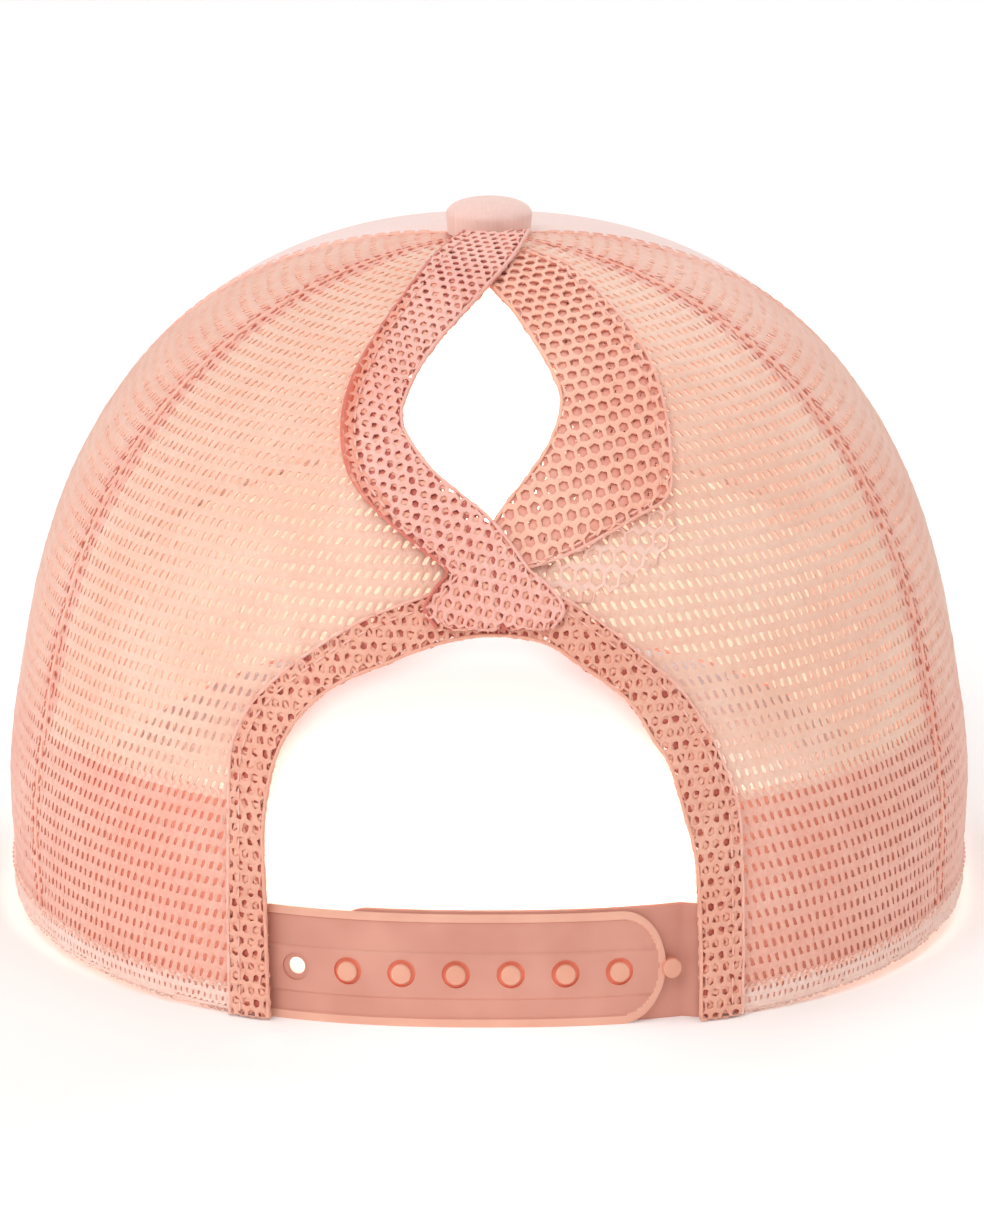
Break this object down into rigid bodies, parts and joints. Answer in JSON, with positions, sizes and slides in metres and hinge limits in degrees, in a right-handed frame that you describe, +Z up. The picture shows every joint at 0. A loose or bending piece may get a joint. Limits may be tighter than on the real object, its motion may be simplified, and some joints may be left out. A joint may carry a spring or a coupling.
{
  "type": "trucker cap",
  "caption": "Net-backed cap with a solid front panel, curved peak, criss-cross ponytail hole, arch opening and snap strap.",
  "frame": {"origin": "below the middle of the cap's box, on the surface that it stands on", "axes": "+Z up, +Y to the back of the cap with the strap, -Y to the tip of the peak, +X to the side that is on the left when the back is looked at"},
  "size_m": [0.1738, 0.2634, 0.124],
  "materials": {
    "front_cloth": "matt",
    "net": "matt knitted net",
    "hem_net": "matt knitted net, doubled",
    "sweatband_cloth": "matt twill",
    "button_cloth": "matt",
    "peak_cloth": "matt twill",
    "strap_plastic": "satin moulded",
    "peg_plastic": "satin moulded"
  },
  "bodies": {
    "root": {"front_panel": "front_cloth", "side_panel_left": "net", "side_panel_right": "net", "back_panel_left": "net", "back_panel_right": "net", "ponytail_band_left": "hem_net", "ponytail_band_right": "hem_net", "arch_band": "hem_net", "sweatband": "sweatband_cloth", "button": "button_cloth", "peak": "peak_cloth", "strap_with_holes": "strap_plastic", "strap_with_pegs": "peg_plastic"}
  },
  "joints": []
}
